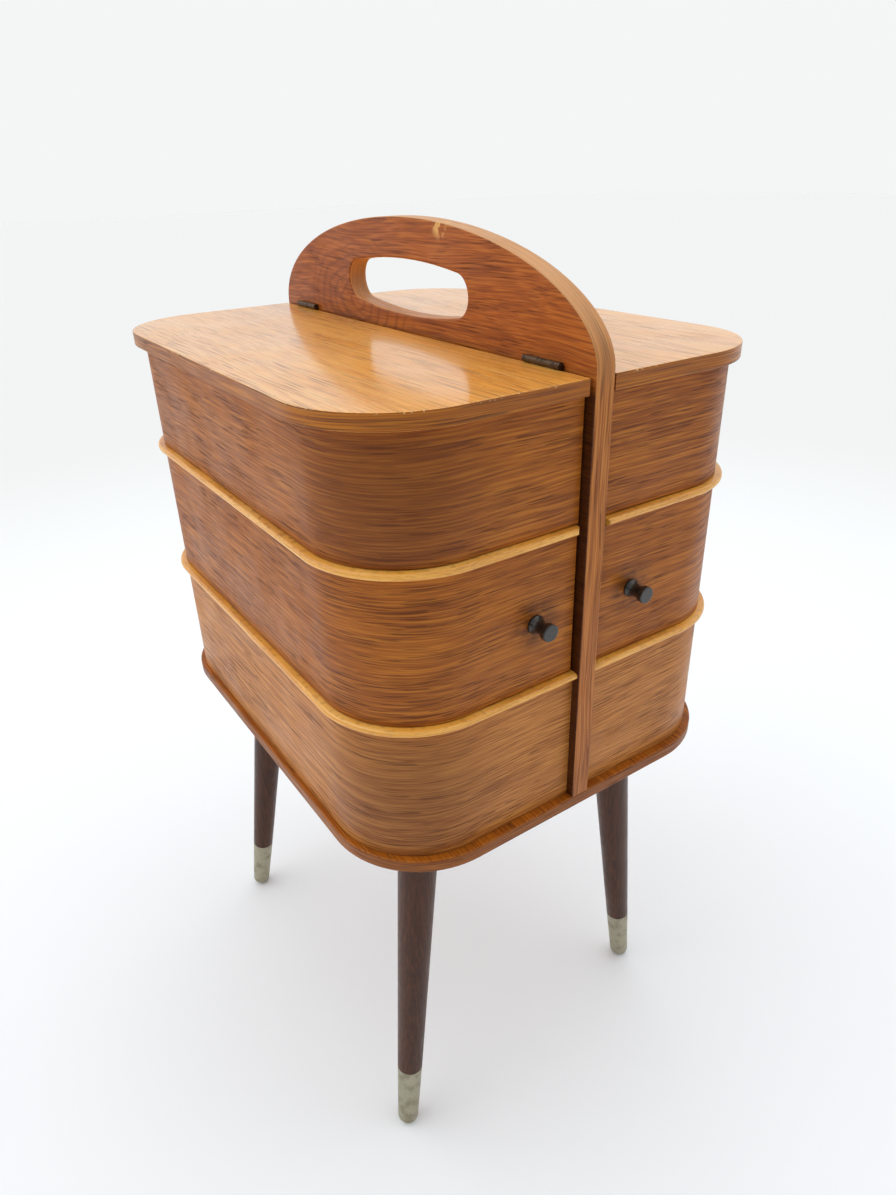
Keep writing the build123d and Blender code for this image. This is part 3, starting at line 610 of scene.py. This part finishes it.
def bentStripTree():
    tree, size = newGeometryTree("bentStrip", [
        "Inner Edge", "Half Width", "Half Length", "Corner Radius", "Bottom", "Height",
        "Wall", "Overhang", "Outer Ease", "Inner Ease", "Front Cut", "Front Slant", "Rear Cut", "Rear Slant", "Slant Start"])
    front = times(tree, size["Half Length"], -1.0)
    corners = [addNode(tree, "ShaderNodeCombineXYZ", X=x, Y=y) for x, y in (
        (size["Inner Edge"], front), (size["Half Width"], front),
        (size["Half Width"], size["Half Length"]), (size["Inner Edge"], size["Half Length"]))]
    path = addNode(tree, "GeometryNodeCurvePrimitiveQuadrilateral", {"mode": "POINTS"},
                   Point_1=corners[0], Point_2=corners[1], Point_3=corners[2], Point_4=corners[3])
    path = addNode(tree, "GeometryNodeSetSplineCyclic", Geometry=path, Cyclic=False)
    path = addNode(tree, "GeometryNodeFilletCurve", {"mode": "POLY"},
                   Curve=path, Count=stripDetail["cornerSteps"], Radius=size["Corner Radius"])
    path = addNode(tree, "GeometryNodeSetCurveNormal", {"mode": "Z_UP"}, Curve=path)
    path = stored(tree, path, "tip", addNode(tree, "GeometryNodeCurveEndpointSelection"))
    width = times(tree, size["Wall"], size["Overhang"], "ADD")
    middle = times(tree, times(tree, size["Overhang"], size["Wall"], "SUBTRACT"), 0.5)
    section = addNode(tree, "GeometryNodeCurvePrimitiveQuadrilateral", {"mode": "RECTANGLE"},
                      Width=width, Height=size["Height"])
    place = addNode(tree, "GeometryNodeInputPosition")
    outside = addNode(tree, "FunctionNodeCompare", {"operation": "GREATER_THAN"},
                      A=addNode(tree, "ShaderNodeSeparateXYZ", give="X", in0=place), B=0.0)
    ease = times(tree, size["Outer Ease"], size["Inner Ease"], "SUBTRACT")
    ease = times(tree, times(tree, ease, outside), size["Inner Ease"], "ADD")
    section = addNode(tree, "GeometryNodeFilletCurve", {"mode": "POLY"},
                      Curve=section, Count=stripDetail["easeSteps"], Radius=ease)
    section = addNode(tree, "GeometryNodeTransform", Geometry=section,
                      Translation=addNode(tree, "ShaderNodeCombineXYZ", X=middle))
    outwards = addNode(tree, "ShaderNodeSeparateXYZ", give="X", in0=place)
    section = stored(tree, section, "across", outwards)
    strip = addNode(tree, "GeometryNodeCurveToMesh", in0=path, Profile_Curve=section, Fill_Caps=True)
    beyond = times(tree, named(tree, "across"), size["Slant Start"], "SUBTRACT")
    beyond = times(tree, beyond, 0.0, "MAXIMUM")
    cuts = [times(tree, times(tree, size[end + " Slant"], beyond), size[end + " Cut"], "ADD")
            for end in ("Front", "Rear")]
    rear = addNode(tree, "FunctionNodeCompare", {"operation": "GREATER_THAN"},
                   A=addNode(tree, "ShaderNodeSeparateXYZ", give="Y", in0=place), B=0.0)
    cut = addNode(tree, "GeometryNodeSwitch", {"input_type": "FLOAT"},
                  in0=rear, in1=cuts[0], in2=cuts[1])
    tip = addNode(tree, "FunctionNodeCompare", {"operation": "GREATER_THAN"},
                  A=named(tree, "tip"), B=0.5)
    strip = addNode(tree, "GeometryNodeSetPosition", Geometry=strip, Selection=tip,
                    Offset=addNode(tree, "ShaderNodeCombineXYZ", X=cut))
    lift = times(tree, times(tree, size["Height"], 0.5), size["Bottom"], "ADD")
    strip = addNode(tree, "GeometryNodeTransform", Geometry=strip,
                    Translation=addNode(tree, "ShaderNodeCombineXYZ", Z=lift))
    endTree(tree, strip, size["Finish"])
    return tree


def meshFromTree(name, tree, values, points=None, mirrored=False):
    # runs a tree on its own object, keeps the plain mesh, and mirrors it to the left half if asked
    maker = bpy.data.objects.new("maker", points or bpy.data.meshes.new("points"))
    bpy.context.scene.collection.objects.link(maker)
    modifier = maker.modifiers.new("tree", "NODES")
    modifier.node_group = tree
    for item in tree.interface.items_tree:
        if item.in_out == "INPUT" and item.name in values:
            modifier[item.identifier] = values[item.name]
    graph = bpy.context.evaluated_depsgraph_get()
    mesh = bpy.data.meshes.new_from_object(maker.evaluated_get(graph), depsgraph=graph)
    bpy.data.objects.remove(maker)
    if mirrored:
        mesh.transform(Matrix.Scale(-1, 4, (1, 0, 0)))
        mesh.flip_normals()
    mesh.name = name
    piece = bpy.data.objects.new(name, mesh)
    bpy.context.scene.collection.objects.link(piece)
    return piece


bentStrips = {   # sizes in mm that the carried over pieces do not give by their boxes
    "bottom_wall": dict(corner=54.5, ease=0.3, slot="teak_walls", body="carcass"),
    "top_wall": dict(corner=54.5, ease=0.3, slot="teak_walls", body="carcass"),
    "tray_wall": dict(corner=54.5, ease=0.3, slot="teak_walls", body="tray",
                      rearSlant=1.0, slantStart=-4.0),
    "bottom_bead": dict(corner=54.5, ease=1.9, overhang=4.3, slot="beech_beads", body="carcass"),
    "tray_bead": dict(corner=54.5, ease=1.9, overhang=4.3, slot="beech_beads", body="tray",
                      frontSlant=0.977, rearCut=4.6, rearSlant=1.07, slantStart=0.0),
}
stripFinish = {"bottom_wall": "teakVeneerBottomTier", "top_wall": "teakVeneerTopTier",
               "tray_wall": "teakVeneerTrays", "bottom_bead": "beechBead", "tray_bead": "beechBead"}
pieceNames = {"bottom_wall": "bottomWall", "top_wall": "topWall", "tray_wall": "trayWall",
              "bottom_bead": "lowerBead", "tray_bead": "upperBead"}


def makeBentStrip(tree, kind, side, look):
    node = kind + "_" + side
    low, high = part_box(node)
    overhang = look.get("overhang", 0.0) * mm
    values = {
        "Finish": materials[stripFinish[kind]],
        "Inner Edge": min(abs(low.x), abs(high.x)),
        "Half Width": max(abs(low.x), abs(high.x)) - overhang,
        "Half Length": high.y - overhang, "Corner Radius": look["corner"] * mm,
        "Bottom": low.z, "Height": high.z - low.z, "Wall": stripDetail["thickness"] * mm,
        "Overhang": overhang,
        "Outer Ease": look["ease"] * mm, "Inner Ease": stripDetail["innerEase"] * mm,
        "Front Cut": 0.0, "Front Slant": look.get("frontSlant", 0.0),
        "Rear Cut": look.get("rearCut", 0.0) * mm, "Rear Slant": look.get("rearSlant", 0.0),
        "Slant Start": look.get("slantStart", 0.0) * mm,
    }
    piece = meshFromTree(pieceNames[kind] + side.capitalize(), tree, values, mirrored=side == "left")
    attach(piece, look["body"] if look["body"] == "carcass" else look["body"] + "_" + side)
    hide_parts(node)


stripTree = bentStripTree()
for kind, look in bentStrips.items():
    for side in ("left", "right"):
        makeBentStrip(stripTree, kind, side, look)
print("bent walls and beads made:", 2 * len(bentStrips))


# One tree turns a screw with a slotted countersunk head and sets it on every point.

screwShape = dict(
    headSides=28, shankSides=16, tipShare=0.35, slotDeep=0.8,
    threadShare=0.75, threadTip=0.5, threadHeight=0.22, threadPitch=1.1, threadSteps=10,
    seed=7,   # for the way each slot was left turned
)


def screwTree():
    tree, size = newGeometryTree("slottedScrews", [
        "Head Radius", "Shank Radius", "Length", "Slot Width", "Slot Depth", "Thread Pitch"])
    headDepth = times(tree, size["Head Radius"], size["Shank Radius"], "SUBTRACT")
    shankLength = times(tree, size["Length"], headDepth, "SUBTRACT")
    atShank = addNode(tree, "ShaderNodeCombineXYZ", Z=headDepth)
    head = addNode(tree, "GeometryNodeMeshCone", Vertices=screwShape["headSides"], Radius_Top=size["Shank Radius"],
                   Radius_Bottom=size["Head Radius"], Depth=headDepth)
    blade = addNode(tree, "ShaderNodeCombineXYZ", X=times(tree, size["Head Radius"], 3.0),
                    Y=size["Slot Width"], Z=times(tree, size["Slot Depth"], 2.0))
    head = addNode(tree, "GeometryNodeMeshBoolean", {"operation": "DIFFERENCE"},
                   in0=head, in1=addNode(tree, "GeometryNodeMeshCube", Size=blade))
    tip = times(tree, size["Shank Radius"], screwShape["tipShare"])
    shank = addNode(tree, "GeometryNodeMeshCone", Vertices=screwShape["shankSides"],
                    Radius_Bottom=size["Shank Radius"], Radius_Top=tip, Depth=shankLength)
    turns = times(tree, shankLength, size["Thread Pitch"], "DIVIDE")
    turns = times(tree, turns, screwShape["threadShare"])
    thread = addNode(tree, "GeometryNodeCurveSpiral",
                     Resolution=screwShape["threadSteps"], Rotations=turns,
                     Start_Radius=size["Shank Radius"],
                     End_Radius=times(tree, size["Shank Radius"], screwShape["threadTip"]),
                     Height=times(tree, shankLength, screwShape["threadShare"]))
    ridge = addNode(tree, "GeometryNodeCurvePrimitiveCircle", Resolution=3,
                    Radius=times(tree, size["Shank Radius"], screwShape["threadHeight"]))
    thread = addNode(tree, "GeometryNodeCurveToMesh", in0=thread, Profile_Curve=ridge, Fill_Caps=True)
    thread = addNode(tree, "GeometryNodeTransform", Geometry=thread, Translation=atShank)
    shank = addNode(tree, "GeometryNodeTransform", Geometry=shank, Translation=atShank)
    join = tree.nodes.new("GeometryNodeJoinGeometry")
    for part in (head, shank, thread):
        tree.links.new(part, join.inputs[0])
    aim = addNode(tree, "FunctionNodeAlignRotationToVector", {"axis": "Z"},
                  Vector=named(tree, "aim", "FLOAT_VECTOR"))
    turn = addNode(tree, "FunctionNodeRandomValue", {"data_type": "FLOAT"},
                   Min=0.0, Max=math.pi, Seed=screwShape["seed"])
    turn = addNode(tree, "FunctionNodeAxisAngleToRotation", Axis=(0, 0, 1), Angle=turn)
    aim = addNode(tree, "FunctionNodeRotateRotation", {"rotation_space": "LOCAL"},
                  Rotation=aim, Rotate_By=turn)
    screws = addNode(tree, "GeometryNodeInstanceOnPoints", Points=size["Points"],
                     Instance=join.outputs[0], Rotation=aim)
    endTree(tree, screws, size["Finish"])
    return tree


def looseBoxes(node):
    # the low and high corner of each separate solid in a carried over node
    mesh = bmesh.new()
    mesh.from_mesh(nodes[node].data)
    bmesh.ops.remove_doubles(mesh, verts=mesh.verts, dist=1e-6)
    seen, boxes = set(), []
    for start in mesh.verts:
        if start in seen:
            continue
        stack, group = [start], []
        seen.add(start)
        while stack:
            vert = stack.pop()
            group.append(vert.co.copy())
            for edge in vert.link_edges:
                other = edge.other_vert(vert)
                if other not in seen:
                    seen.add(other)
                    stack.append(other)
        boxes.append((Vector([min(p[i] for p in group) for i in range(3)]),
                      Vector([max(p[i] for p in group) for i in range(3)])))
    mesh.free()
    return boxes


screwSets = {   # aim is the way from head to tip: in towards the panel, out into a lid, or up
    "panel_hinge_screws": dict(name="panelHingeScrews", body="carcass", aim="in",
                               head=1.7, shank=0.9, slot=0.5),
    "lid_hinge_screws_left": dict(name="lidHingeScrewsLeft", body="lid_left", aim="out",
                                  head=1.7, shank=0.9, slot=0.5),
    "lid_hinge_screws_right": dict(name="lidHingeScrewsRight", body="lid_right", aim="out",
                                   head=1.7, shank=0.9, slot=0.5),
    "leg_plate_screws": dict(name="legPlateScrews", body="carcass", aim="up",
                             head=3.2, shank=1.6, slot=0.9),
    "panel_screws": dict(name="panelFootScrews", body="carcass", aim="up",
                         head=3.8, shank=2.0, slot=1.1),
}


def makeScrews(tree, node, look):
    boxes = looseBoxes(node)
    places, aims = [], []
    for low, high in boxes:
        middle = (low + high) / 2
        side = 1 if middle.x > 0 else -1
        if look["aim"] == "up":
            places.append(Vector((middle.x, middle.y, low.z)))
            aims.append((0, 0, 1))
        else:
            outer = high.x if side > 0 else low.x
            inner = low.x if side > 0 else high.x
            inwards = look["aim"] == "in"
            places.append(Vector((outer if inwards else inner, middle.y, middle.z)))
            aims.append((-side if inwards else side, 0, 0))
    along = 2 if look["aim"] == "up" else 0   # the axis that the screws lie on
    length = max(high[along] - low[along] for low, high in boxes)
    points = bpy.data.meshes.new("points")
    points.from_pydata(places, [], [])
    attribute = points.attributes.new("aim", "FLOAT_VECTOR", "POINT")
    for i, aim in enumerate(aims):
        attribute.data[i].vector = aim
    piece = meshFromTree(look["name"], tree, {
        "Finish": materials["zincPlatedSteel"], "Length": length,
        "Head Radius": look["head"] * mm, "Shank Radius": look["shank"] * mm,
        "Slot Width": look["slot"] * mm, "Slot Depth": look["slot"] * screwShape["slotDeep"] * mm,
        "Thread Pitch": look["shank"] * screwShape["threadPitch"] * mm}, points)
    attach(piece, look["body"])
    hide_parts(node)
    return len(boxes)


slottedScrews = screwTree()
print("screws made:", sum(makeScrews(slottedScrews, node, look) for node, look in screwSets.items()))
